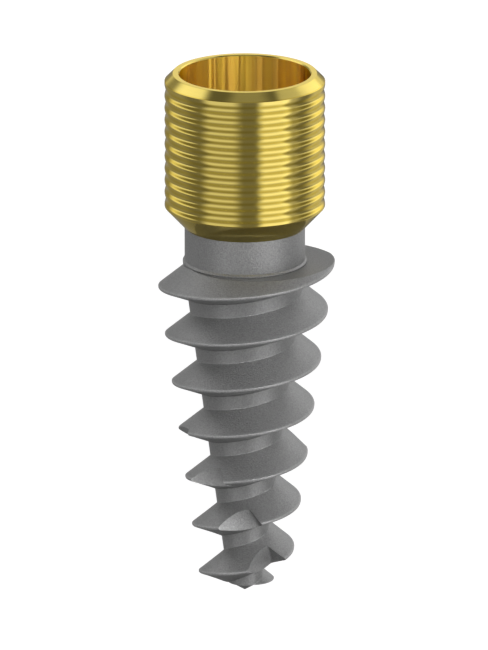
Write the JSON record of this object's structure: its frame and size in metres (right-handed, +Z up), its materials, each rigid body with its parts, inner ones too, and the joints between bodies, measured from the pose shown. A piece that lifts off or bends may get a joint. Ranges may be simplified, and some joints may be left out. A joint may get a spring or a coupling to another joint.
{
  "type": "dental implant",
  "caption": "Tapered screw implant in one piece, with a ringed cup-shaped collar, open bore, short neck, deep thread and cutting flutes, lying on its side",
  "frame": {"origin": "middle of the bounding box's bottom face, on the ground under the implant, which lies on the crests of its tapered thread", "axes": "+Z up, +Y along the implant towards the rim of its collar, whose axis rises 7.7 degrees from the ground, +X to the right when looking down with the rim at the top"},
  "size_m": [0.005, 0.0152, 0.0054],
  "materials": {
    "blasted_titanium": "grit-blasted and etched titanium, matt grey",
    "anodised_titanium": "turned titanium, anodised gold, glossy"
  },
  "bodies": {
    "root": {"implant_body": "blasted_titanium"}
  },
  "joints": []
}
